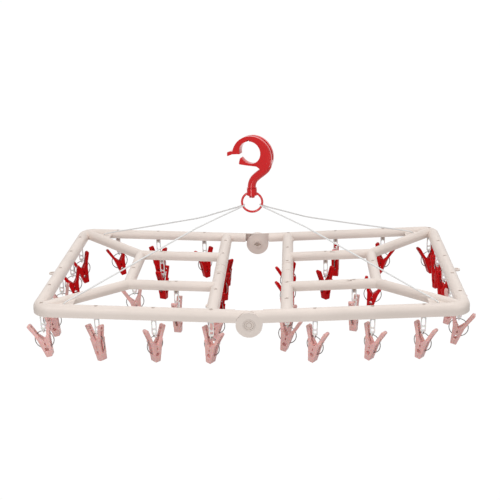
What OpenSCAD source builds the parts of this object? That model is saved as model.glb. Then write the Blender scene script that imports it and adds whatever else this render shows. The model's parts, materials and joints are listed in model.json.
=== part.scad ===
/* [Frame] */
// Overall width of the open frame
frame_w = 755; // [735:1:775]
// Overall depth of the frame
frame_d = 430; // [424:1:440]
// Width of the outer rails and the crossbar
rail_w = 22; // [21:0.5:23]
// Height of the rails
rail_h = 15.4; // [15:0.1:16]
// Width of the inner bars and the diagonals
bar_w = 19; // [18.5:0.1:19.5]
// Wall thickness of the rails, which are open channels underneath
wall = 2.2; // [1.8:0.1:2.4]
// Outer radius of the frame's corners
corner_r = 32; // [28:1:36]
// How far the front and rear rails' outer skirts hang below the rails
skirt_drop = 4.6; // [3:0.1:5]
// How far each half tips up at its outer end when it hangs
sag = 2.1; // [0:0.1:3]

/* [Hinges] */
// Radius of the hinge discs
disc_r = 23; // [21:0.5:23]
// Thickness of each hinge disc
disc_t = 4.5; // [4:0.1:4.6]
// Height of the hinge axis below the top of the rails
hinge_drop = 23.3; // [23:0.1:24]
// Radius of the hinge pins' shanks
pin_r = 7.45; // [6:0.05:7.5]
// Radius of the hinge pins' heads
pin_head_r = 10.5; // [9.5:0.1:11]

/* [Hook and ring] */
// Radius of the hook's opening, where the drying pole goes
seat_r = 21; // [19:0.5:22]
// Thickness of the hook
hook_t = 15; // [13:0.5:16]
// Turn of the hook on its ring
hook_turn = -20; // [-60:5:60]
// Middle radius of the suspension ring
ring_r = 18.85; // [18:0.05:20]
// Wire radius of the suspension ring
ring_wire_r = 2.1; // [1.8:0.05:2.2]

/* [Cords] */
// Diameter of the cords
cord_d = 2.4; // [2:0.1:2.8]

/* [Pinches] */
// Length of a link from its pivot to the spring wire
link_len = 32; // [31:0.5:34]
// Width of a link
link_w = 9; // [8:0.5:9]
// Width of a jaw
jaw_w = 14; // [12:0.5:14.5]
// Length of a jaw above its fulcrum
arm_len = 33; // [30:0.5:33]
// Length of a jaw below its fulcrum
jaw_len = 31.5; // [29:0.5:33]
// Radius of the spring wire's circle
spring_r = 16.7; // [16:0.1:17]
// Radius of the spring wire
wire_r = 0.8; // [0.6:0.05:0.9]

/* [Hidden] */
$fn = 48;
gap = 0.3;
red = [0.80, 0.07, 0.09];
pink = [0.87, 0.58, 0.60];
beige = [0.90, 0.87, 0.84];
white = [0.95, 0.95, 0.95];
steel = [0.75, 0.75, 0.77];

// Heights, measured from the middle of the hook's opening
rail_top = -227;
hinge_z = rail_top - hinge_drop;
boss_top = -68;
boss_h = 13.6;
boss_r = 9.5;
ring_z = -95.5;
spindle_r = 4.5;

// Places in a half frame, whose outer end is towards -X
end_x = -(frame_w - rail_w) / 2;
long_y = (frame_d - rail_w) / 2;
cross_x = -65;
short_x = -229;
bar_y = 79;
corner_arc = corner_r - rail_w / 2;
corner_x = -frame_w / 2 + corner_r;
corner_y = frame_d / 2 - corner_r;
diagonal_end = [-358, 195.5];
cord_hole = [-324, 187];
groove_w = 2;
groove_depth = 0.9;
notch_l = 25;
head_r = 2.6;
pit_r = 3.3;
pit_depth = 1.5;
web_top = -6;
web_t = 3;
seam = 0.3;

// Where the studs stand in a half: name, x and y
STATIONS = [
    ["front_1", -66, -long_y], ["front_2", -165, -long_y], ["front_3", -264, -long_y],
    ["rear_1", -113, long_y], ["rear_2", -211, long_y], ["rear_3", -297, long_y],
    ["end_1", end_x, 151], ["end_2", end_x, 65], ["end_3", end_x, -28],
    ["end_4", end_x, -114], ["end_5", -360, -198],
    ["cross_1", cross_x, 156], ["cross_2", cross_x, 79], ["cross_3", cross_x, -33],
    ["cross_4", cross_x, -112],
    ["bar_rear", -187, bar_y], ["bar_front", -140, -bar_y], ["short_bar", short_x, -16]
];
stud_r = 1.6;
pivot_z = -21;
peg_r = 1.4;

// How each pinch hangs: its turn about its link, its lean on the spring, and whether it is red
LEFT_HANG = [
    [-35, -8, 0], [45, 0, 0], [140, -14, 0],
    [35, 5, 1], [-30, 4, 1], [25, 12, 1],
    [30, 10, 1], [20, 10, 1], [10, 12, 0], [0, 14, 0], [0, 14, 0],
    [-50, 0, 1], [-60, 0, 1], [-60, 4, 1], [-20, -10, 0],
    [70, 0, 1], [80, 0, 0], [15, 10, 0]
];
RIGHT_HANG = [
    [-80, 0, 1], [80, 0, 1], [-25, -12, 1],
    [-35, -10, 0], [-40, -12, 0], [-38, -10, 0],
    [-15, -14, 0], [-15, -14, 0], [-60, 0, 1], [-65, 0, 1], [20, 12, 1],
    [-20, -12, 0], [-55, -6, 0], [25, 10, 1], [20, 10, 1],
    [70, 0, 0], [40, 0, 1], [-10, -10, 1]
];

// Pinches whose right jaw is a node of its own, by side and station number
OPENING_LEFT = [0, 1, 2];
OPENING_RIGHT = [3, 4, 5];

// The left cord's route, from the front hole round the ring to the rear hole
CORD_ROUTE = [
    [-323, -187, -224.6], [-323, -187, -222.4], [-321.8, -186.2, -219.8], [-319.4, -184.8, -218.2],
    [-316, -182.8, -216.7], [-290, -167, -206.4], [-220, -124.6, -177.6],
    [-140, -76.2, -144.8], [-100, -52, -128.6], [-60, -27.8, -115.8], [-28, -8.6, -106.2],
    [-21.6, -5, -104], [-17.8, -4.1, -102.2], [-15.2, -2.6, -101], [-14.4, 0, -100.6],
    [-15.2, 2.6, -101], [-17.8, 4.1, -102.2], [-21.6, 5, -104.2], [-28, 8.6, -107.6],
    [-60, 27.8, -122.4], [-96, 49.6, -139.4], [-112, 59.2, -145.8], [-180, 100.4, -169.6],
    [-250, 142.8, -193.6], [-290, 167, -207.2], [-316, 182.8, -216.7],
    [-319.4, 184.8, -218.2], [-321.8, 186.2, -219.8], [-323, 187, -222.4], [-323, 187, -224.6]
];
knot_r = 3.2;
knot_z = -227.8;

// ---- Rails ----

// Section of a rail: a half-round top on straight sides, with its crest at the origin
module rail_section(w, h) {
    difference() {
        union() {
            translate([0, -w / 2])
                circle(w / 2);
            translate([-w / 2, -h])
                square([w, h - w / 2]);
        }
        translate([-w, -h - 2 * w])
            square(2 * w);
    }
}

// A straight rail from one plan point to another
module rail(from, to, w, h) {
    run = to - from;
    translate([from.x, from.y, 0])
        rotate([0, 0, atan2(run.y, run.x)])
            rotate([90, 0, 90])
                linear_extrude(norm(run))
                    rail_section(w, h);
}

// One rounded corner of the outer rail: side is 1 at the rear and -1 at the front
module corner(side, w, h) {
    translate([corner_x, side * corner_y, 0])
        rotate([0, 0, side > 0 ? 90 : 180])
            rotate_extrude(angle = 90, $fn = 96)
                translate([corner_arc, 0])
                    rail_section(w, h);
}

// The front and rear rails, drawn with a section that is inset by the wall for the cavity
module long_rails(inset, h) {
    for (side = [-1, 1])
        rail([corner_x, side * long_y], [-seam, side * long_y], rail_w - 2 * inset, h);
}

module end_rail(inset, h) {
    rail([end_x, -corner_y], [end_x, corner_y], rail_w - 2 * inset, h);
}

module corners(inset, h) {
    for (side = [-1, 1])
        corner(side, rail_w - 2 * inset, h);
}

module crossbar(inset, h) {
    rail([cross_x, -long_y], [cross_x, long_y], rail_w - 2 * inset, h);
}

module short_crossbar(inset, h) {
    rail([short_x, -bar_y], [short_x, bar_y], bar_w - 2 * inset, h);
}

module long_bars(inset, h) {
    for (side = [-1, 1])
        rail([short_x, side * bar_y], [cross_x, side * bar_y], bar_w - 2 * inset, h);
}

module diagonals(inset, h) {
    for (side = [-1, 1])
        rail([short_x, side * bar_y], [diagonal_end.x, side * diagonal_end.y],
            bar_w - 2 * inset, h);
}

// The knuckles round the short crossbar's ends
module knuckles(inset, h) {
    for (side = [-1, 1])
        translate([short_x, side * bar_y, 0])
            rotate_extrude()
                intersection() {
                    rail_section(bar_w - 2 * inset, h);
                    translate([0, -2 * h])
                        square([bar_w, 3 * h]);
                }
}

// The webs between each diagonal and the long rail, which hold the cord holes
module cord_webs() {
    for (side = [-1, 1])
        translate([0, 0, web_top - web_t])
            linear_extrude(web_t)
                polygon([
                    [-350, side * 192], [-308, side * (long_y - rail_w / 2 + 1)],
                    [-308, side * 158]
                ]);
}

// The outer skirts below the front and rear rails and round the corners
module skirts() {
    for (side = [-1, 1]) {
        translate([corner_x, side > 0 ? frame_d / 2 - wall : -frame_d / 2, -rail_h - skirt_drop])
            cube([-seam - corner_x, wall, skirt_drop + 1]);
        translate([corner_x, side * corner_y, -rail_h - skirt_drop])
            rotate([0, 0, side > 0 ? 90 : 180])
                rotate_extrude(angle = 90, $fn = 96)
                    translate([corner_r - wall, 0])
                        square([wall, skirt_drop + 1]);
    }
}

// A stop that stands out beside the crossbar near the front rail
module crossbar_bump() {
    translate([cross_x - rail_w / 2 - 1.5, -174, -7])
        rotate([0, 90, 0])
            cylinder(r = 3, h = 3);
}

// The flat loop on the end rail's outside
module eyelet(y) {
    translate([-frame_w / 2 - 3.5, y, -12])
        difference() {
            union() {
                cylinder(r = 6.5, h = 2.4);
                translate([0, -6.5, 0])
                    cube([6, 13, 2.4]);
            }
            translate([-0.8, 0, -1])
                cylinder(r = 3.4, h = 5);
        }
}

// Slanted leaf-shaped hollows on the long bars, and two grooves across the crossbar
module surface_recesses() {
    for (side = [-1, 1])
        translate([-166, side * bar_y + 4, 6.6])
            rotate([0, 90, side * 12])
                cylinder(r = 9, h = 34, center = true);
    for (y = [14, -24])
        difference() {
            rail([cross_x, y], [cross_x, y + groove_w], rail_w + 2, rail_h + 2);
            translate([0, 0, -groove_depth])
                rail([cross_x, y - 1], [cross_x, y + groove_w + 1],
                    rail_w - 2 * groove_depth, rail_h + 4);
        }
}

// The notch in the long rails' inner side that bares the inner hinge disc
module hinge_notches() {
    for (side = [-1, 1])
        translate([-notch_l, side > 0 ? long_y - rail_w / 2 - 1 : 0.4 - disc_from(false), -40])
            cube([notch_l, disc_from(false) - 0.4 - (long_y - rail_w / 2 - 1), 60]);
}

// Where a disc sits across the rail: the outer disc is flush with the rail's outer face
function disc_from(outer) = outer ? frame_d / 2 - disc_t : frame_d / 2 - 2 * disc_t - 0.8;

// A hinge disc at the side y = side, outer or inner, grown by a clearance
module hinge_disc(side, outer, grow = 0) {
    from = disc_from(outer) - grow;
    thick = disc_t + 2 * grow;
    translate([0, side > 0 ? from : -from - thick, -hinge_drop])
        rotate([-90, 0, 0])
            cylinder(r = disc_r + grow, h = thick, $fn = 96);
}

// Trims a half's inner end upright, for the half hangs tipped up by its sag
module seam_trim() {
    translate([0, 0, -hinge_drop])
        rotate([0, -sag, 0])
            translate([-seam / 2, -frame_d, -2 * hinge_drop])
                cube([2 * hinge_drop, 2 * frame_d, 4 * hinge_drop]);
}

// The rib that carries a hinge disc inside the rail's end
module hinge_rib(side, outer) {
    from = disc_from(outer);
    difference() {
        intersection() {
            translate([-42, side > 0 ? from : -from - disc_t, -rail_h])
                cube([42 - seam, disc_t, rail_h]);
            rail([-60, side * long_y], [-seam, side * long_y], rail_w, rail_h);
        }
        seam_trim();
    }
}

// A pin's bore through a half's own disc, with the head's recess in an outer disc
module hinge_bore(side, outer) {
    from = disc_from(outer);
    translate([0, side > 0 ? from - 1 : -from - disc_t - 1, -hinge_drop])
        rotate([-90, 0, 0])
            cylinder(r = pin_r + 0.05, h = disc_t + 2);
    if (outer)
        translate([0, side > 0 ? frame_d / 2 - 2.6 : -frame_d / 2 - 1, -hinge_drop])
            rotate([-90, 0, 0])
                cylinder(r = pin_head_r + gap, h = 3.6);
}

// A half frame lying flat with its crests at z = 0. The front disc is the inner one
module half_frame(eyelet_y) {
    color(beige)
        difference() {
            union() {
                difference() {
                    union() {
                        long_rails(0, rail_h);
                        end_rail(0, rail_h);
                        corners(0, rail_h);
                        crossbar(0, rail_h);
                        short_crossbar(0, rail_h);
                        long_bars(0, rail_h);
                        diagonals(0, rail_h);
                        knuckles(0, rail_h);
                        skirts();
                        eyelet(eyelet_y);
                        crossbar_bump();
                    }
                    translate([0, 0, -wall]) {
                        long_rails(wall, rail_h + 4);
                        end_rail(wall, rail_h + 5);
                        corners(wall, rail_h + 4.5);
                        crossbar(wall, rail_h + 5.5);
                        short_crossbar(wall, rail_h + 3);
                        long_bars(wall, rail_h + 2.5);
                        diagonals(wall, rail_h + 2);
                        knuckles(wall, rail_h + 1.5);
                    }
                    surface_recesses();
                    hinge_notches();
                    seam_trim();
                    hinge_disc(1, false, 0.4);
                    hinge_disc(-1, true, 0.4);
                }
                cord_webs();
                hinge_rib(1, true);
                hinge_rib(-1, false);
                hinge_disc(1, true);
                hinge_disc(-1, false);
            }
            hinge_bore(1, true);
            hinge_bore(-1, false);
            for (side = [-1, 1])
                translate([cord_hole.x, side * cord_hole.y, web_top - web_t - 1])
                    cylinder(r = 2.6, h = web_t + 2);
            for (s = STATIONS) {
                translate([s[1], s[2], -wall - 4])
                    cylinder(r = stud_r + 0.05, h = wall + 6);
                translate([s[1], s[2], -pit_depth])
                    cylinder(r = pit_r, h = pit_depth + 2);
            }
        }
}

// Tips a half up at its outer end and hangs it at its height
module hung_left() {
    translate([0, 0, hinge_z])
        rotate([0, sag, 0])
            translate([0, 0, hinge_drop])
                children();
}

module left_frame() {
    hung_left()
        half_frame(-31);
}

// The right half is the left one turned half round about the hook's axis, but for its eyelet
module right_frame() {
    rotate([0, 0, 180])
        hung_left()
            half_frame(22);
}

// ---- Studs that stand in the rails and carry the links ----

module stud() {
    cheek_x = 4;
    cheek_t = 2;
    cheek_y = 1.2;
    // the shank, and its head in the rail's pit
    translate([0, 0, -13])
        cylinder(r = stud_r, h = 12.3);
    translate([0, 0, -pit_depth])
        cylinder(r = head_r, h = 0.8);
    translate([-cheek_x / 2, -stud_r, -14.8])
        cube([cheek_x, stud_r + cheek_y + cheek_t, 2]);
    translate([-cheek_x / 2, cheek_y, pivot_z - 2])
        cube([cheek_x, cheek_t, 9]);
    // the peg and its cap, on the link's pivot axis
    translate([0, cheek_y + 0.5, pivot_z])
        rotate([90, 0, 0])
            cylinder(r = peg_r, h = 3.4);
    translate([0, -1.2, pivot_z])
        rotate([90, 0, 0])
            cylinder(r = 2.3, h = 1);
}

module half_studs() {
    color(white)
        for (s = STATIONS)
            translate([s[1], s[2], 0])
                stud();
}

module left_studs() {
    hung_left()
        half_studs();
}

module right_studs() {
    rotate([0, 0, 180])
        left_studs();
}

// ---- Pinches ----

// A link, hanging from its pivot at the origin, with its flat face to the front
module link(turn) {
    plate_t = 1.8;
    eye_r = 2.6;
    eye_wire = 0.9;
    plate_bottom = link_len - eye_r + 1.2;
    plate_bottom_z = 3.8 - plate_bottom;
    color(white) {
        rotate([90, 0, 0])
            difference() {
                union() {
                    translate([0, 0, -plate_t / 2])
                        cylinder(r = link_w / 2, h = plate_t);
                    translate([-link_w / 2, plate_bottom_z, -plate_t / 2])
                        cube([link_w, -plate_bottom_z, plate_t]);
                    translate([0, plate_bottom_z, -plate_t / 2])
                        cylinder(r = link_w / 2, h = plate_t);
                }
                translate([0, 0, -plate_t])
                    cylinder(r = peg_r + 0.3, h = 2 * plate_t);
                // an oval window and a round one below it
                translate([-link_w / 2 + 1.9, -16, -plate_t])
                    cube([link_w - 3.8, 8.4, 2 * plate_t]);
                for (y = [-7.6, -16])
                    translate([0, y, -plate_t])
                        cylinder(r = link_w / 2 - 1.9, h = 2 * plate_t);
                translate([0, -23.6, -plate_t])
                    cylinder(r = link_w / 2 - 1.9, h = 2 * plate_t);
                // room for the eye
                translate([0, -link_len, -plate_t])
                    cylinder(r = eye_r - 0.4, h = 2 * plate_t);
            }
        translate([0, 0, -link_len])
            rotate([0, 90, turn])
                rotate_extrude($fn = 32)
                    translate([eye_r, 0])
                        circle(eye_wire);
    }
}

// One jaw with its fulcrum at the origin, for the side u > 0 of the pinch
module jaw() {
    difference() {
        rotate([90, 0, 0])
            linear_extrude(jaw_w, center = true)
                polygon([
                    [0.1, -jaw_len], [5.5, -jaw_len + 0.6], [10, 0], [21.3, arm_len - 3],
                    [20.6, arm_len - 0.6], [18.6, arm_len], [15.4, arm_len - 0.8], [7, 8],
                    [3.4, 4], [0.1, 0]
                ]);
        // the arm is narrower than the jaw
        for (side = [-1, 1])
            translate([2, side > 0 ? 4.8 : -jaw_w, 9])
                cube([24, jaw_w - 4.8, 30]);
        // the slot for the spring wire
        translate([2.2, -1.3, -18])
            cube([20, 2.6, 40]);
        // a round hole near the arm's top, and half of one across the jaws
        translate([0, 0, arm_len - 6])
            rotate([0, 90, 0])
                cylinder(r = 2.4, h = 30);
        translate([0, 0, -17])
            rotate([90, 0, 0])
                cylinder(r = 3.8, h = jaw_w + 2, center = true);
    }
}

// The C-shaped spring wire, open at the bottom, round the fulcrum
module spring() {
    open_half = 26;
    color(steel)
        rotate([90, 0, 0])
            rotate([0, 0, -90 + open_half])
                rotate_extrude(angle = 360 - 2 * open_half, $fn = 64)
                    translate([spring_r, 0])
                        circle(wire_r, $fn = 16);
}

// Puts a pinch's own parts where they hang below the link's pivot
module on_link(hang) {
    translate([0, 0, -link_len - spring_r])
        rotate([0, 0, hang[0]])
            rotate([0, -hang[1], 0])
                children();
}

function jaw_colour(hang) = hang[2] == 1 ? red : pink;

// A pinch with its link. A pinch that opens has its right jaw in another node
module pinch(hang, opening) {
    link(hang[0]);
    on_link(hang) {
        spring();
        color(jaw_colour(hang)) {
            mirror([1, 0, 0])
                jaw();
            if (!opening)
                jaw();
        }
    }
}

// Where a station's pivot hangs: side is -1 for the left half and 1 for the right
module at_station(side, index) {
    s = STATIONS[index];
    flat_x = s[1];
    up = pivot_z + hinge_drop;
    x = flat_x * cos(sag) + up * sin(sag);
    z = -flat_x * sin(sag) + up * cos(sag) + hinge_z;
    translate([-side * x, -side * s[2], z])
        children();
}

module left_pinch(index) {
    at_station(-1, index)
        pinch(LEFT_HANG[index], len(search(index, OPENING_LEFT)) > 0);
}

module right_pinch(index) {
    at_station(1, index)
        pinch(RIGHT_HANG[index], len(search(index, OPENING_RIGHT)) > 0);
}

module left_jaw(index) {
    hang = LEFT_HANG[index];
    at_station(-1, index)
        on_link(hang)
            color(jaw_colour(hang))
                jaw();
}

module right_jaw(index) {
    hang = RIGHT_HANG[index];
    at_station(1, index)
        on_link(hang)
            color(jaw_colour(hang))
                jaw();
}

// ---- Hinge pins ----

// The front pin: a head, a shank through both discs, and a split snap end
module front_hinge_pin() {
    shank_l = 2 * disc_t + 2;
    color(beige)
        translate([0, -frame_d / 2 + 0.1, hinge_z])
            rotate([-90, 0, 0])
                difference() {
                    union() {
                        cylinder(r = pin_head_r, h = 2.4);
                        cylinder(r = pin_r - 0.05, h = shank_l);
                        translate([0, 0, shank_l - 0.6])
                            cylinder(r1 = pin_r + 0.5, r2 = pin_r - 1.2, h = 2.2, $fn = 48);
                    }
                    translate([0, 0, 5])
                        cylinder(r = pin_r - 2.4, h = 20);
                    translate([-20, -1.2, 6])
                        cube([40, 2.4, 20]);
                    // two ring grooves in the head's face, round a button
                    for (r = [4.4, 7.6])
                        translate([0, 0, -1])
                            difference() {
                                cylinder(r = r + 0.8, h = 1.7);
                                cylinder(r = r, h = 3);
                            }
                }
}

module rear_hinge_pin() {
    rotate([0, 0, 180])
        front_hinge_pin();
}

// ---- Hook ----

// The hook's outline: an arc over the pole, a lip, a catch arm under the pole and the stem
module hook_outline() {
    mouth_z = -4;
    difference() {
        union() {
            difference() {
                translate([3.4, -7.7])
                    circle(38.4, $fn = 96);
                translate([-60, -60 + mouth_z])
                    square([84, 60]);
            }
            polygon([[-32, 4], [-44.6, -0.8], [-44.8, -9.4], [-36, -5.6], [-24, -5], [-24, 4]]);
            polygon([
                [-19.4, -10.4], [-22.6, -23.8], [14, -25.6], [-4.6, -50.4], [-6.8, -59], [-7, -67.6],
                [7, -67.6], [7.6, -62], [14.6, -51.2], [33.6, -32.6], [41, -16], [41.8, -4], [20, -2]
            ]);
        }
        circle(seat_r, $fn = 96);
        // the small notch above the pole
        translate([-4, seat_r])
            rotate([0, 0, 45])
                square(4, center = true);
    }
}

// The hook with its spindle, which turns in the ring's boss
module hook() {
    color(red)
        rotate([0, 0, hook_turn]) {
            difference() {
                rotate([90, 0, 0])
                    linear_extrude(hook_t, center = true)
                        hook_outline();
                // the catch arm and the stem are thinner than the arc
                for (side = [-1, 1])
                    translate([-30, side > 0 ? 5 : -hook_t, -30])
                        cube([44, hook_t - 5, 25.4]);
            }
            translate([0, 0, boss_top - boss_h - 5])
                difference() {
                    union() {
                        cylinder(r = spindle_r, h = boss_h + 6);
                        cylinder(r1 = 4, r2 = 5.6, h = 4.6);
                    }
                    translate([-1, -10, -1])
                        cube([2, 20, 9]);
                }
        }
}

module swivel_ring() {
    color(red) {
        difference() {
            union() {
                translate([0, 0, boss_top - boss_h - 0.1])
                    cylinder(r = boss_r, h = boss_h);
                translate([0, 0, ring_z])
                    rotate([90, 0, 0])
                        rotate_extrude($fn = 96)
                            translate([ring_r, 0])
                                circle(ring_wire_r, $fn = 32);
            }
            translate([0, 0, boss_top - boss_h - 1])
                cylinder(r = spindle_r + 0.06, h = boss_h + 4);
            translate([0, 0, boss_top - boss_h - 6])
                cylinder(r = 6.2, h = 6);
        }
    }
}

// ---- Cords ----

cord_sides = 8;
function unit(v) = v / norm(v);
function tangent(path, i) =
    unit(path[min(i + 1, len(path) - 1)] - path[max(i - 1, 0)]);
// Directions across the cord: the reference leans so that the route never runs along it
function across(t) = unit(cross(t, [0.42, 0, 0.91]));
function cord_ring(path, i) =
    let (t = tangent(path, i), a = across(t), b = cross(t, a))
    [for (k = [0 : cord_sides - 1])
        path[i] + cord_d / 2 * (cos(k * 360 / cord_sides) * a + sin(k * 360 / cord_sides) * b)];

module cord(path) {
    last = len(path) - 1;
    points = [for (i = [0 : last]) each cord_ring(path, i)];
    sides = [for (i = [0 : last - 1], k = [0 : cord_sides - 1])
        [i * cord_sides + k, (i + 1) * cord_sides + k,
         (i + 1) * cord_sides + (k + 1) % cord_sides, i * cord_sides + (k + 1) % cord_sides]];
    start = [[for (k = [0 : cord_sides - 1]) k]];
    end = [[for (k = [cord_sides - 1 : -1 : 0]) last * cord_sides + k]];
    polyhedron(points, concat(sides, start, end));
}

module left_cord() {
    color(white)
        cord(CORD_ROUTE);
}

module right_cord() {
    mirror([1, 0, 0])
        left_cord();
}

module left_knots() {
    color(white)
        for (side = [-1, 1])
            translate([-323, side * 187, knot_z])
                sphere(knot_r);
}

module right_knots() {
    rotate([0, 0, 180])
        left_knots();
}

hook();
swivel_ring();
front_hinge_pin();
rear_hinge_pin();
left_frame();
right_frame();
left_studs();
right_studs();
left_cord();
right_cord();
left_knots();
right_knots();
for (i = [0 : len(STATIONS) - 1]) {
    left_pinch(i);
    right_pinch(i);
}
for (i = OPENING_LEFT)
    left_jaw(i);
for (i = OPENING_RIGHT)
    right_jaw(i);
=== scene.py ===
"""A folding clip drying hanger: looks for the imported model, in metres."""
import json
import math

import bmesh
import bpy
from mathutils import Matrix, Vector

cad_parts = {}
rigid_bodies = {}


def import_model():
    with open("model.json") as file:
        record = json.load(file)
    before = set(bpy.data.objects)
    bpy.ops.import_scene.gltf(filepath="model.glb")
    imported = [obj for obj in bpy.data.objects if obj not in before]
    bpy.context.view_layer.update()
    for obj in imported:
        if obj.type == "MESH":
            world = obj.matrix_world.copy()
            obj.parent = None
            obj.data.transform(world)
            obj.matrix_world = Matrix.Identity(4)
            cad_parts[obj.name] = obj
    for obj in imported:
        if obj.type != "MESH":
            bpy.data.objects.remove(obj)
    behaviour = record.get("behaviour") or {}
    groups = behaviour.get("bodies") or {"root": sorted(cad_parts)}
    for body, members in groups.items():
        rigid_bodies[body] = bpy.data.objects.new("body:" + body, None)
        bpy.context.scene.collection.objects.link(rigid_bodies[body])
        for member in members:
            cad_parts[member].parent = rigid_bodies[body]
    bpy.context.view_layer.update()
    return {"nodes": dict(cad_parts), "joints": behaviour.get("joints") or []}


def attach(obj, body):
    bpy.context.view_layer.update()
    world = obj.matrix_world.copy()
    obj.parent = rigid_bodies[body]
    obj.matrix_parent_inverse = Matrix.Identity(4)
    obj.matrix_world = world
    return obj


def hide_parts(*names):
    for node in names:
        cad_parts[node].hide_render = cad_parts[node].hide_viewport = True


for leftover in list(bpy.data.objects):
    bpy.data.objects.remove(leftover)

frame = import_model()

MM = 0.001

# Sizes shared with the CAD model, in millimetres
LINK_LEN = 32
SPRING_R = 16.7
WIRE_R = 0.8
JAW_W = 14
ARM_W = 9.6
ARM_LEN = 33
JAW_LEN = 31.5
LINK_W = 9
PEG_R = 1.4
HOOK_T = 15
HOOK_TURN = -20
SEAT_R = 21
BOW_CENTRE = (3.4, -7.7)
BOW_R = 38.4
CORD_D = 2.8
CORD_HOLE = (323, 187)
KNOT_Z = -227.8
HINGE_Z = -250.3
PIN_Y = 214.9
PIN_HEAD_H = 2.4
PIN_RING_R = (4.4, 7.6)
PIN_RING_W = 0.9

STATIONS = [
    "front_1", "front_2", "front_3", "rear_1", "rear_2", "rear_3",
    "end_1", "end_2", "end_3", "end_4", "end_5",
    "cross_1", "cross_2", "cross_3", "cross_4", "bar_rear", "bar_front", "short_bar",
]

# How each pinch hangs: its turn about its link, its lean on the spring, and its colour
LEFT_HANG = [
    (-35, -8, "pink"), (45, 0, "pink"), (140, -14, "pink"),
    (35, 5, "red"), (-30, 4, "red"), (25, 12, "red"),
    (30, 10, "red"), (20, 10, "red"), (10, 12, "pink"), (0, 14, "pink"), (0, 14, "pink"),
    (-50, 0, "red"), (-60, 0, "red"), (-60, 4, "red"), (-20, -10, "pink"),
    (70, 0, "red"), (80, 0, "pink"), (15, 10, "pink"),
]
RIGHT_HANG = [
    (-80, 0, "red"), (80, 0, "red"), (-25, -12, "red"),
    (-35, -10, "pink"), (-40, -12, "pink"), (-38, -10, "pink"),
    (-15, -14, "pink"), (-15, -14, "pink"), (-60, 0, "red"), (-65, 0, "red"), (20, 12, "red"),
    (-20, -12, "pink"), (-55, -6, "pink"), (25, 10, "red"), (20, 10, "red"),
    (70, 0, "pink"), (40, 0, "red"), (-10, -10, "red"),
]

# The left cord's route, from the front hole round the ring to the rear hole
CORD_ROUTE = [
    (-323, -187, -224.6), (-323, -187, -222.4), (-321.8, -186.2, -219.8),
    (-319.4, -184.8, -218.2), (-316, -182.8, -216.7), (-290, -167, -206.4),
    (-220, -124.6, -177.6), (-140, -76.2, -144.8), (-100, -52, -128.6), (-60, -27.8, -115.8),
    (-28, -8.6, -106.2), (-21.6, -5, -104), (-17.8, -4.1, -102.2), (-15.2, -2.6, -101),
    (-14.4, 0, -100.6), (-15.2, 2.6, -101), (-17.8, 4.1, -102.2), (-21.6, 5, -104.2),
    (-28, 8.6, -107.6), (-60, 27.8, -122.4), (-96, 49.6, -139.4), (-112, 59.2, -145.8),
    (-180, 100.4, -169.6), (-250, 142.8, -193.6), (-290, 167, -207.2), (-316, 182.8, -216.7),
    (-319.4, 184.8, -218.2), (-321.8, 186.2, -219.8), (-323, 187, -222.4), (-323, 187, -224.6),
]


# ---- Camera ----

def make_camera():
    """A camera a little right of the hanger's middle, looking down at it."""
    yaw, pitch, roll = -0.0498, 0.3428, -0.0229
    data = bpy.data.cameras.new("camera")
    data.sensor_width = 36
    data.lens = 68.43
    data.clip_end = 100
    forward = Vector((
        math.sin(yaw) * math.cos(pitch), math.cos(yaw) * math.cos(pitch), -math.sin(pitch)
    ))
    right = Vector((math.cos(yaw), -math.sin(yaw), 0))
    up = right.cross(forward)
    rolled_right = right * math.cos(roll) + up * math.sin(roll)
    rolled_up = up * math.cos(roll) - right * math.sin(roll)
    camera = bpy.data.objects.new("camera", data)
    turn = Matrix((rolled_right, rolled_up, -forward)).transposed().to_4x4()
    camera.matrix_world = Matrix.Translation((0.0785, -1.6957, 0.4154)) @ turn
    bpy.context.scene.collection.objects.link(camera)
    bpy.context.scene.camera = camera


# ---- Materials ----

def srgb(r, g, b):
    """A colour given as 0 to 255 display values, in linear light."""
    def linear(v):
        v /= 255
        return v / 12.92 if v <= 0.04045 else ((v + 0.055) / 1.055) ** 2.4
    return (linear(r), linear(g), linear(b), 1)


def new_material(name):
    material = bpy.data.materials.new(name)
    material.use_nodes = True
    nodes = material.node_tree.nodes
    return material, nodes, material.node_tree.links, nodes["Principled BSDF"]


def noise(nodes, links, coordinates, scale, detail=3):
    node = nodes.new("ShaderNodeTexNoise")
    node.inputs["Scale"].default_value = scale
    node.inputs["Detail"].default_value = detail
    links.new(coordinates, node.inputs["Vector"])
    return node.outputs["Fac"]


def ramp(nodes, links, factor, stops):
    node = nodes.new("ShaderNodeValToRGB")
    elements = node.color_ramp.elements
    while len(elements) < len(stops):
        elements.new(0.5)
    for element, (place, colour) in zip(elements, stops):
        element.position = place
        element.color = colour
    links.new(factor, node.inputs["Fac"])
    return node.outputs["Color"]


def bump(nodes, links, height, shader, strength, distance):
    node = nodes.new("ShaderNodeBump")
    node.inputs["Strength"].default_value = strength
    node.inputs["Distance"].default_value = distance
    links.new(height, node.inputs["Height"])
    links.new(node.outputs["Normal"], shader.inputs["Normal"])


def shade(colour, factor):
    return tuple(min(1, c * factor) for c in colour[:3]) + (1,)


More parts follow.
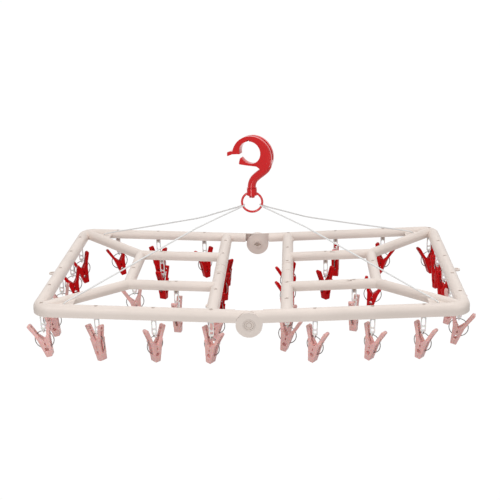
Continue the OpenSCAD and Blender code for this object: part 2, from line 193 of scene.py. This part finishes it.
def moulded_plastic(name, colour, roughness, scatter=0.0, wear=0.25, shine=0.5, grain=0.12,
                    coat=0.0):
    """Injection-moulded plastic: a fine surface grain, faint flow shading and edge wear."""
    material, nodes, links, shader = new_material(name)
    place = nodes.new("ShaderNodeTexCoord").outputs["Object"]
    flow = noise(nodes, links, place, 14, 4)
    base = ramp(nodes, links, flow, [(0.3, shade(colour, 0.95)), (0.7, shade(colour, 1.03))])
    edge = nodes.new("ShaderNodeNewGeometry").outputs["Pointiness"]
    worn = ramp(nodes, links, edge, [(0.5, (0, 0, 0, 1)), (0.58, (wear, wear, wear, 1))])
    mix = nodes.new("ShaderNodeMix")
    mix.data_type = "RGBA"
    links.new(worn, mix.inputs["Factor"])
    links.new(base, mix.inputs[6])
    mix.inputs[7].default_value = shade(colour, 1.15)
    links.new(mix.outputs[2], shader.inputs["Base Color"])
    rough = nodes.new("ShaderNodeMapRange")
    rough.inputs["To Min"].default_value = roughness - 0.05
    rough.inputs["To Max"].default_value = roughness + 0.08
    links.new(noise(nodes, links, place, 60), rough.inputs["Value"])
    links.new(rough.outputs["Result"], shader.inputs["Roughness"])
    shader.inputs["IOR"].default_value = 1.49
    shader.inputs["Specular IOR Level"].default_value = shine
    shader.inputs["Coat Weight"].default_value = coat
    shader.inputs["Coat Roughness"].default_value = 0.06
    if scatter:
        shader.inputs["Subsurface Weight"].default_value = scatter
        shader.inputs["Subsurface Scale"].default_value = 0.002
    bump(nodes, links, noise(nodes, links, place, 900, 2), shader, grain, 0.0002)
    return material


def spring_steel():
    material, nodes, links, shader = new_material("spring_steel")
    place = nodes.new("ShaderNodeTexCoord").outputs["Object"]
    streaks = noise(nodes, links, place, 700, 2)
    steel = [(0.35, srgb(136, 131, 127)), (0.7, srgb(192, 188, 184))]
    links.new(ramp(nodes, links, streaks, steel), shader.inputs["Base Color"])
    shader.inputs["Metallic"].default_value = 1
    shader.inputs["Roughness"].default_value = 0.28
    bump(nodes, links, streaks, shader, 0.1, 0.0001)
    return material


def braided_cord():
    """White cord with fine slanted strands."""
    material, nodes, links, shader = new_material("braided_cord")
    place = nodes.new("ShaderNodeTexCoord").outputs["Object"]
    strands = nodes.new("ShaderNodeTexWave")
    strands.bands_direction = "DIAGONAL"
    strands.inputs["Scale"].default_value = 260
    strands.inputs["Distortion"].default_value = 2
    links.new(place, strands.inputs["Vector"])
    white = [(0.2, srgb(228, 228, 227)), (0.6, srgb(238, 238, 237))]
    links.new(ramp(nodes, links, strands.outputs["Fac"], white), shader.inputs["Base Color"])
    shader.inputs["Roughness"].default_value = 0.75
    shader.inputs["Sheen Weight"].default_value = 0.3
    bump(nodes, links, strands.outputs["Fac"], shader, 0.25, 0.0002)
    return material


BEIGE = moulded_plastic("beige_plastic", srgb(232, 219, 210), 0.42)
PIN_BEIGE = moulded_plastic("pin_plastic", srgb(226, 213, 204), 0.36)
GLOSS_RED = moulded_plastic(
    "gloss_red_plastic", srgb(224, 8, 14), 0.13, wear=0.1, grain=0.02, coat=0.9
)
RED = moulded_plastic(
    "red_pinch_plastic", srgb(208, 4, 10), 0.34, wear=0.1, shine=0.15, grain=0.05
)
PINK = moulded_plastic(
    "pink_pinch_plastic", srgb(240, 190, 184), 0.36, scatter=0.12, shine=0.35, grain=0.05
)
# painted shade: the studs are coloured darker than the frame so that the pits over their heads
# look shadowed
STUD_PIT_SHADE = moulded_plastic("stud_pit_shade_plastic", srgb(188, 172, 162), 0.5)
WHITE = moulded_plastic("white_plastic", srgb(243, 241, 238), 0.35, scatter=0.1)
STEEL = spring_steel()
CORD = braided_cord()
JAW_COLOURS = {"red": RED, "pink": PINK}


# ---- Mesh helpers ----

def link_object(name, mesh, material):
    piece = bpy.data.objects.new(name, mesh)
    bpy.context.scene.collection.objects.link(piece)
    if not mesh.materials:
        mesh.materials.append(material)
    return piece


def extruded(outline, thickness, middle=0):
    """A prism whose outline lies in X and Z and whose thickness runs along Y."""
    shape = bmesh.new()
    front = [shape.verts.new((x, middle - thickness / 2, z)) for x, z in outline]
    back = [shape.verts.new((x, middle + thickness / 2, z)) for x, z in outline]
    shape.faces.new(front)
    shape.faces.new(back[::-1])
    for i in range(len(outline)):
        j = (i + 1) % len(outline)
        shape.faces.new((front[j], front[i], back[i], back[j]))
    bmesh.ops.recalc_face_normals(shape, faces=shape.faces)
    mesh = bpy.data.meshes.new("prism")
    shape.to_mesh(mesh)
    shape.free()
    return mesh


def block(low, high):
    return extruded(
        [(low[0], low[2]), (high[0], low[2]), (high[0], high[2]), (low[0], high[2])],
        high[1] - low[1], (low[1] + high[1]) / 2,
    )


def rod(radius, length, axis, centre, sides=32):
    """A cylinder mesh along X, Y or Z about a centre."""
    shape = bmesh.new()
    bmesh.ops.create_cone(
        shape, cap_ends=True, segments=sides, radius1=radius, radius2=radius, depth=length
    )
    turn = {
        "X": Matrix.Rotation(math.pi / 2, 4, "Y"),
        "Y": Matrix.Rotation(math.pi / 2, 4, "X"),
        "Z": Matrix.Identity(4),
    }[axis]
    shape.transform(Matrix.Translation(centre) @ turn)
    mesh = bpy.data.meshes.new("rod")
    shape.to_mesh(mesh)
    shape.free()
    return mesh


def joined(solid, additions=(), cutters=(), bevel=0.0, segments=2):
    """One mesh from a solid with others added and cut away, and its edges rounded."""
    scene = bpy.context.scene.collection
    base = bpy.data.objects.new("work", solid)
    scene.objects.link(base)
    helpers = []
    for meshes, operation in ((additions, "UNION"), (cutters, "DIFFERENCE")):
        for mesh in meshes:
            helper = bpy.data.objects.new("helper", mesh)
            scene.objects.link(helper)
            helpers.append(helper)
            modifier = base.modifiers.new("boolean", "BOOLEAN")
            modifier.object = helper
            modifier.operation = operation
            modifier.solver = "EXACT"
    if bevel:
        edge = base.modifiers.new("bevel", "BEVEL")
        edge.width = bevel
        edge.segments = segments
        edge.limit_method = "ANGLE"
        edge.angle_limit = math.radians(35)
    depsgraph = bpy.context.evaluated_depsgraph_get()
    result = bpy.data.meshes.new_from_object(base.evaluated_get(depsgraph))
    for helper in helpers + [base]:
        bpy.data.objects.remove(helper)
    smooth(result)
    return result


def smooth(mesh, angle=38):
    mesh.shade_smooth()
    mesh.set_sharp_from_angle(angle=math.radians(angle))


def swept(points, radius, closed=False, sides=12):
    """A round wire mesh along a list of points."""
    curve = bpy.data.curves.new("wire", "CURVE")
    curve.dimensions = "3D"
    curve.bevel_depth = radius
    curve.bevel_resolution = sides // 4
    curve.use_fill_caps = True
    spline = curve.splines.new("POLY")
    spline.points.add(len(points) - 1)
    for point, place in zip(spline.points, points):
        point.co = (*place, 1)
    spline.use_cyclic_u = closed
    holder = bpy.data.objects.new("wire", curve)
    bpy.context.scene.collection.objects.link(holder)
    depsgraph = bpy.context.evaluated_depsgraph_get()
    mesh = bpy.data.meshes.new_from_object(holder.evaluated_get(depsgraph))
    bpy.data.objects.remove(holder)
    smooth(mesh, 60)
    return mesh


def arc(centre, radius, start, end, steps):
    """Points of an arc in X and Z, with its angles in degrees."""
    points = []
    for i in range(steps + 1):
        angle = math.radians(start + (end - start) * i / steps)
        points.append((centre[0] + radius * math.cos(angle), centre[1] + radius * math.sin(angle)))
    return points


def scaled(mesh):
    """Brings a mesh drawn in millimetres to metres."""
    mesh.transform(Matrix.Scale(MM, 4))
    return mesh


# ---- Cords ----

def cord_curve(name, route):
    curve = bpy.data.curves.new(name, "CURVE")
    curve.dimensions = "3D"
    curve.bevel_depth = CORD_D / 2 * MM
    curve.bevel_resolution = 4
    curve.use_fill_caps = True
    curve.materials.append(CORD)
    spline = curve.splines.new("POLY")
    spline.points.add(len(route) - 1)
    for point, place in zip(spline.points, route):
        point.co = (*place, 1)
    piece = bpy.data.objects.new(name, curve)
    bpy.context.scene.collection.objects.link(piece)
    return piece


def make_cords():
    for side, word in ((-1, "left"), (1, "right")):
        route = [(-side * x * MM, y * MM, z * MM) for x, y, z in CORD_ROUTE]
        node = f"{word}_cord"
        piece = cord_curve(f"{word}_braided_cord", route)
        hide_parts(node)
        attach(piece, node)
        knots = make_knots(word, side)


def make_knots(word, side):
    """The knots under the webs: a wavy turn of cord at each end."""
    turn_r, rise = 1.55, 1.2
    turns = []
    for i in range(49):
        angle = 2 * math.pi * i / 48
        turns.append(Vector(
            (turn_r * math.cos(angle), turn_r * math.sin(angle), rise * math.sin(2 * angle))
        ))
    knot = swept(turns, 1.25)
    shape = bmesh.new()
    for end in (-1, 1):
        copy = knot.copy()
        copy.transform(
            Matrix.Translation((side * CORD_HOLE[0], end * CORD_HOLE[1], KNOT_Z))
        )
        shape.from_mesh(copy)
    mesh = bpy.data.meshes.new(f"{word}_knots")
    shape.to_mesh(mesh)
    shape.free()
    piece = link_object(f"{word}_cord_knots", scaled(mesh), CORD)
    smooth(mesh, 60)
    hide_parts(f"{word}_knots")
    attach(piece, f"{word}_half")
    return piece


# ---- Pinches ----

def link_mesh():
    """The flat link: a peg hole, a long oval window and a round one, and the eye below."""
    half = LINK_W / 2
    bottom = -26.8
    outline = arc((0, 0), half, 0, 180, 20) + arc((0, bottom), half, 180, 360, 20)
    plate = extruded(outline, 1.8)
    inner = half - 1.7
    window = extruded(arc((0, -7.6), inner, 0, 180, 14) + arc((0, -16.4), inner, 180, 360, 14), 6)
    cutters = [
        rod(PEG_R + 0.3, 6, "Y", (0, 0, 0)), window,
        rod(inner, 6, "Y", (0, 0, -24)), rod(2.4, 6, "Y", (0, 0, -LINK_LEN)),
    ]
    return scaled(joined(plate, cutters=cutters, bevel=0.35))


def eye_mesh():
    """The rounded ring at the link's foot, across the plate."""
    ring = [
        Vector((0, 2.6 * math.cos(angle), 2.6 * math.sin(angle) - LINK_LEN))
        for angle in (2 * math.pi * i / 32 for i in range(32))
    ]
    return scaled(swept(ring, 0.95, closed=True))


def jaw_mesh(side):
    """The jaw on the +X side of the fulcrum, or its mirror image, with slots and ribs."""
    outline = [
        (0.1, -JAW_LEN), (4.6, -JAW_LEN), (5.6, -JAW_LEN + 1.4), (7.6, -16), (9.8, -2),
        (10.6, 3), (21.3, ARM_LEN - 3), (20.9, ARM_LEN - 0.9), (19.4, ARM_LEN - 0.1),
        (16.4, ARM_LEN - 0.3), (15.3, ARM_LEN - 1.6), (6.9, 8.4), (3.5, 4), (0.1, 0),
        # two bays on the gripping side, which hold round lines
        (0.1, -4), (1.3, -5.2), (1.3, -7.8), (0.1, -9), (0.1, -24),
    ]
    body = extruded(outline, JAW_W)
    cutters = [block((2.4, -1.9, -18), (24, 1.9, 22.4))]
    for way in (-1, 1):
        low, high = sorted((way * ARM_W / 2, way * 9))
        cutters.append(block((2, low, 9), (24, high, 40)))
        # the flanks taper towards the tip
        cutters.append(extruded(
            [(-1, -JAW_LEN - 1), (12, -JAW_LEN - 1), (12, -JAW_LEN + 12), (-1, -JAW_LEN + 12)],
            2.4, way * (JAW_W / 2 + 0.7),
        ))
    cutters.append(rod(2.4, 60, "X", (0, 0, ARM_LEN - 6)))
    cutters.append(rod(3.8, JAW_W + 4, "Y", (0, 0, -17)))
    # ribs on the arm's outside, where a thumb presses
    ridge = (19.4 - 10.6) / (ARM_LEN - 3)
    for w in (12, 14.4, 16.8, 19.2):
        cutters.append(rod(0.5, JAW_W, "Y", (10.6 + (w - 3) * (ridge + 0.06) + 0.3, 0, w), 12))
    mesh = joined(body, cutters=cutters, bevel=0.4)
    if side < 0:
        mesh.transform(Matrix.Scale(-1, 4, (1, 0, 0)))
        mesh.flip_normals()
    return scaled(mesh)


def spring_mesh():
    """The C-shaped wire round the fulcrum."""
    points = [Vector((x, 0, z)) for x, z in arc((0, 0), SPRING_R, -64, 244, 72)]
    return scaled(swept(points, WIRE_R))


def copy_for(name, mesh, material, place, body, node):
    piece = link_object(name, mesh.copy(), material)
    piece.data.materials.clear()
    piece.data.materials.append(material)
    piece.matrix_world = place
    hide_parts(node)
    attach(piece, body)
    return piece


def make_pinches():
    pivots = {j["name"]: Vector(j["pos_m"]) for j in frame["joints"] if "pos_m" in j}
    link, eye, spring = link_mesh(), eye_mesh(), spring_mesh()
    jaws = {-1: jaw_mesh(-1), 1: jaw_mesh(1)}
    for word, hangs in (("left", LEFT_HANG), ("right", RIGHT_HANG)):
        for station, (turn, lean, colour) in zip(STATIONS, hangs):
            node = f"{word}_pinch_{station}"
            tag = f"{word}_{station}"
            pivot = Matrix.Translation(pivots[f"{tag}_swing"])
            turned = Matrix.Rotation(math.radians(turn), 4, "Z")
            down = Matrix.Translation((0, 0, -(LINK_LEN + SPRING_R) * MM))
            fulcrum = pivot @ down @ turned @ Matrix.Rotation(math.radians(-lean), 4, "Y")
            copy_for(f"{tag}_link", link, WHITE, pivot, node, node)
            copy_for(f"{tag}_eye", eye, WHITE, pivot @ turned, node, node)
            copy_for(f"{tag}_spring", spring, STEEL, fulcrum, node, node)
            for side, mesh in jaws.items():
                jaw_node = f"{word}_jaw_{station}"
                own = side > 0 and jaw_node in frame["nodes"]
                copy_for(
                    f"{tag}_jaw_{'b' if side > 0 else 'a'}", mesh, JAW_COLOURS[colour], fulcrum,
                    jaw_node if own else node, jaw_node if own else node,
                )


# ---- Hook and ring ----

def hook_outlines():
    """The hook's outer outline and the pole's opening, about the opening's centre."""
    outer = arc(BOW_CENTRE, BOW_R, 168, -4, 48)
    shoulder = [(41, -16), (38.4, -23.6), (33, -31), (26, -33), (20, -30), (14, -25.6)]
    catch = [(6, -25.4), (-8, -25), (-21.6, -24), (-22.8, -22), (-20.4, -13), (-18.4, -11)]
    lip = [(-24.4, -4.4), (-35, -5.6), (-44, -9.6), (-45, -8.4), (-44.8, -2.4), (-40, -0.4)]
    seat_low = arc((0, 0), SEAT_R, 215, 360, 34)
    seat_high = arc((0, 0), SEAT_R, 0, 192, 44)
    return outer + shoulder + catch + seat_low[1:] + seat_high[1:] + lip


def smooth_neck():
    """The round neck that runs from the arc's right side down to the spindle."""
    centres = [
        (33, -18), (32, -24), (29, -29.4), (24, -34.4), (18, -39.2), (12, -44),
        (6.6, -49), (3, -54), (1, -59), (0, -64), (0, -67.6),
    ]
    return swept([Vector((x, 0, z)) for x, z in centres], 7.8, sides=32)


def make_pins():
    """The hinge pins: a head with two ring grooves, and a split snap end."""
    snap = rod(7.9, 2.2, "Y", (0, 11.6, 0), 48)
    shank = rod(7.4, 12, "Y", (0, 6, 0), 48)
    cap = rod(10.5, PIN_HEAD_H, "Y", (0, PIN_HEAD_H / 2, 0), 64)
    rings = [
        joined(
            rod(radius + PIN_RING_W, 2.2, "Y", (0, 0, 0), 64),
            cutters=[rod(radius, 4, "Y", (0, 0, 0), 64)],
        )
        for radius in PIN_RING_R
    ]
    hollow = rod(5, 12, "Y", (0, 11, 0), 48)
    split = block((-20, 6, -1.2), (20, 26, 1.2))
    head = joined(cap, additions=[shank, snap], cutters=rings + [hollow, split])
    head.transform(Matrix.Translation((0, -PIN_Y, HINGE_Z)))
    scaled(head)
    for node, turn in (("front_hinge_pin", 0), ("rear_hinge_pin", math.pi)):
        piece = link_object(f"{node}_moulding", head.copy(), PIN_BEIGE)
        piece.matrix_world = Matrix.Rotation(turn, 4, "Z")
        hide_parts(node)
        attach(piece, "hinge_pins")


def make_hook():
    """A bowed hook with a channel round its edge, a thin catch, a neck and a split spindle."""
    body = extruded(hook_outlines(), HOOK_T)
    middle = (BOW_CENTRE[0], 0, BOW_CENTRE[1])
    groove = joined(
        rod(BOW_R + 1.6, 4.2, "Y", middle, 96),
        cutters=[rod(BOW_R - 2, 9, "Y", middle, 96), block((-60, -9, -60), (80, 9, -12))],
    )
    notch = rod(2.6, HOOK_T + 4, "Y", (-3, 0, SEAT_R + 0.6), 4)
    # the catch is thinner than the bow
    thin = []
    for way in (-1, 1):
        low, high = sorted((way * 5.2, way * 12))
        thin.append(block((-24.5, low, -30), (13, high, -5)))
    mesh = joined(
        body, additions=[smooth_neck()], cutters=[groove, notch] + thin, bevel=1.5, segments=4
    )
    spindle = rod(4.5, 19.6, "Z", (0, 0, -76.8), 48)
    prongs = joined(
        spindle, additions=[rod(5.4, 3, "Z", (0, 0, -84.6), 48)],
        cutters=[block((-1, -10, -90), (1, 10, -79))], bevel=0.4,
    )
    shape = bmesh.new()
    shape.from_mesh(mesh)
    shape.from_mesh(prongs)
    whole = bpy.data.meshes.new("hook_body")
    shape.to_mesh(whole)
    shape.free()
    smooth(whole, 40)
    piece = link_object("pole_hook", scaled(whole), GLOSS_RED)
    piece.matrix_world = Matrix.Rotation(math.radians(HOOK_TURN), 4, "Z")
    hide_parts("hook")
    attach(piece, "hook")


# ---- CAD nodes that stay ----

def finish_node(node, material):
    piece = frame["nodes"][node]
    piece.data.materials.clear()
    piece.data.materials.append(material)


def dress_nodes():
    for word in ("left", "right"):
        finish_node(f"{word}_frame", BEIGE)
        # the studs take the darker colour, a painted shade for the pits over their heads
        finish_node(f"{word}_studs", STUD_PIT_SHADE)
    finish_node("swivel_ring", GLOSS_RED)


# ---- Studio ----

def area_light(name, place, target, size, power):
    data = bpy.data.lights.new(name, "AREA")
    data.shape = "RECTANGLE"
    data.size, data.size_y = size
    data.energy = power
    light = bpy.data.objects.new(name, data)
    light.location = place
    light.rotation_euler = (Vector(target) - Vector(place)).to_track_quat("-Z", "Y").to_euler()
    bpy.context.scene.collection.objects.link(light)


def make_studio():
    scene = bpy.context.scene
    world = bpy.data.worlds.new("studio")
    world.use_nodes = True
    nodes, links = world.node_tree.nodes, world.node_tree.links
    # white behind the hanger, as seen from the front, and dimmer all round
    direction = nodes.new("ShaderNodeTexCoord").outputs["Generated"]
    split = nodes.new("ShaderNodeSeparateXYZ")
    links.new(direction, split.inputs["Vector"])
    behind = nodes.new("ShaderNodeMapRange")
    behind.inputs["From Min"].default_value = 0.55
    behind.inputs["From Max"].default_value = 0.72
    behind.inputs["To Min"].default_value = 0.34
    behind.inputs["To Max"].default_value = 1.02
    links.new(split.outputs["Y"], behind.inputs["Value"])
    links.new(behind.outputs["Result"], nodes["Background"].inputs["Strength"])
    nodes["Background"].inputs["Color"].default_value = (1, 1, 1, 1)
    scene.world = world
    scene.view_settings.view_transform = "Standard"
    area_light("key", (-1.2, -1.6, 1.9), (0, 0, -0.25), (1.4, 1.0), 23)
    area_light("fill", (1.8, -1.2, 0.8), (0, 0, -0.25), (1.2, 1.2), 12)
    area_light("front", (-0.45, -1.75, -0.2), (0, 0, -0.1), (0.8, 1.6), 7)
    area_light("top", (0.1, 0.3, 1.6), (0, 0, -0.25), (1.6, 1.0), 12)


make_camera()
make_cords()
make_pinches()
make_hook()
make_pins()
dress_nodes()
make_studio()
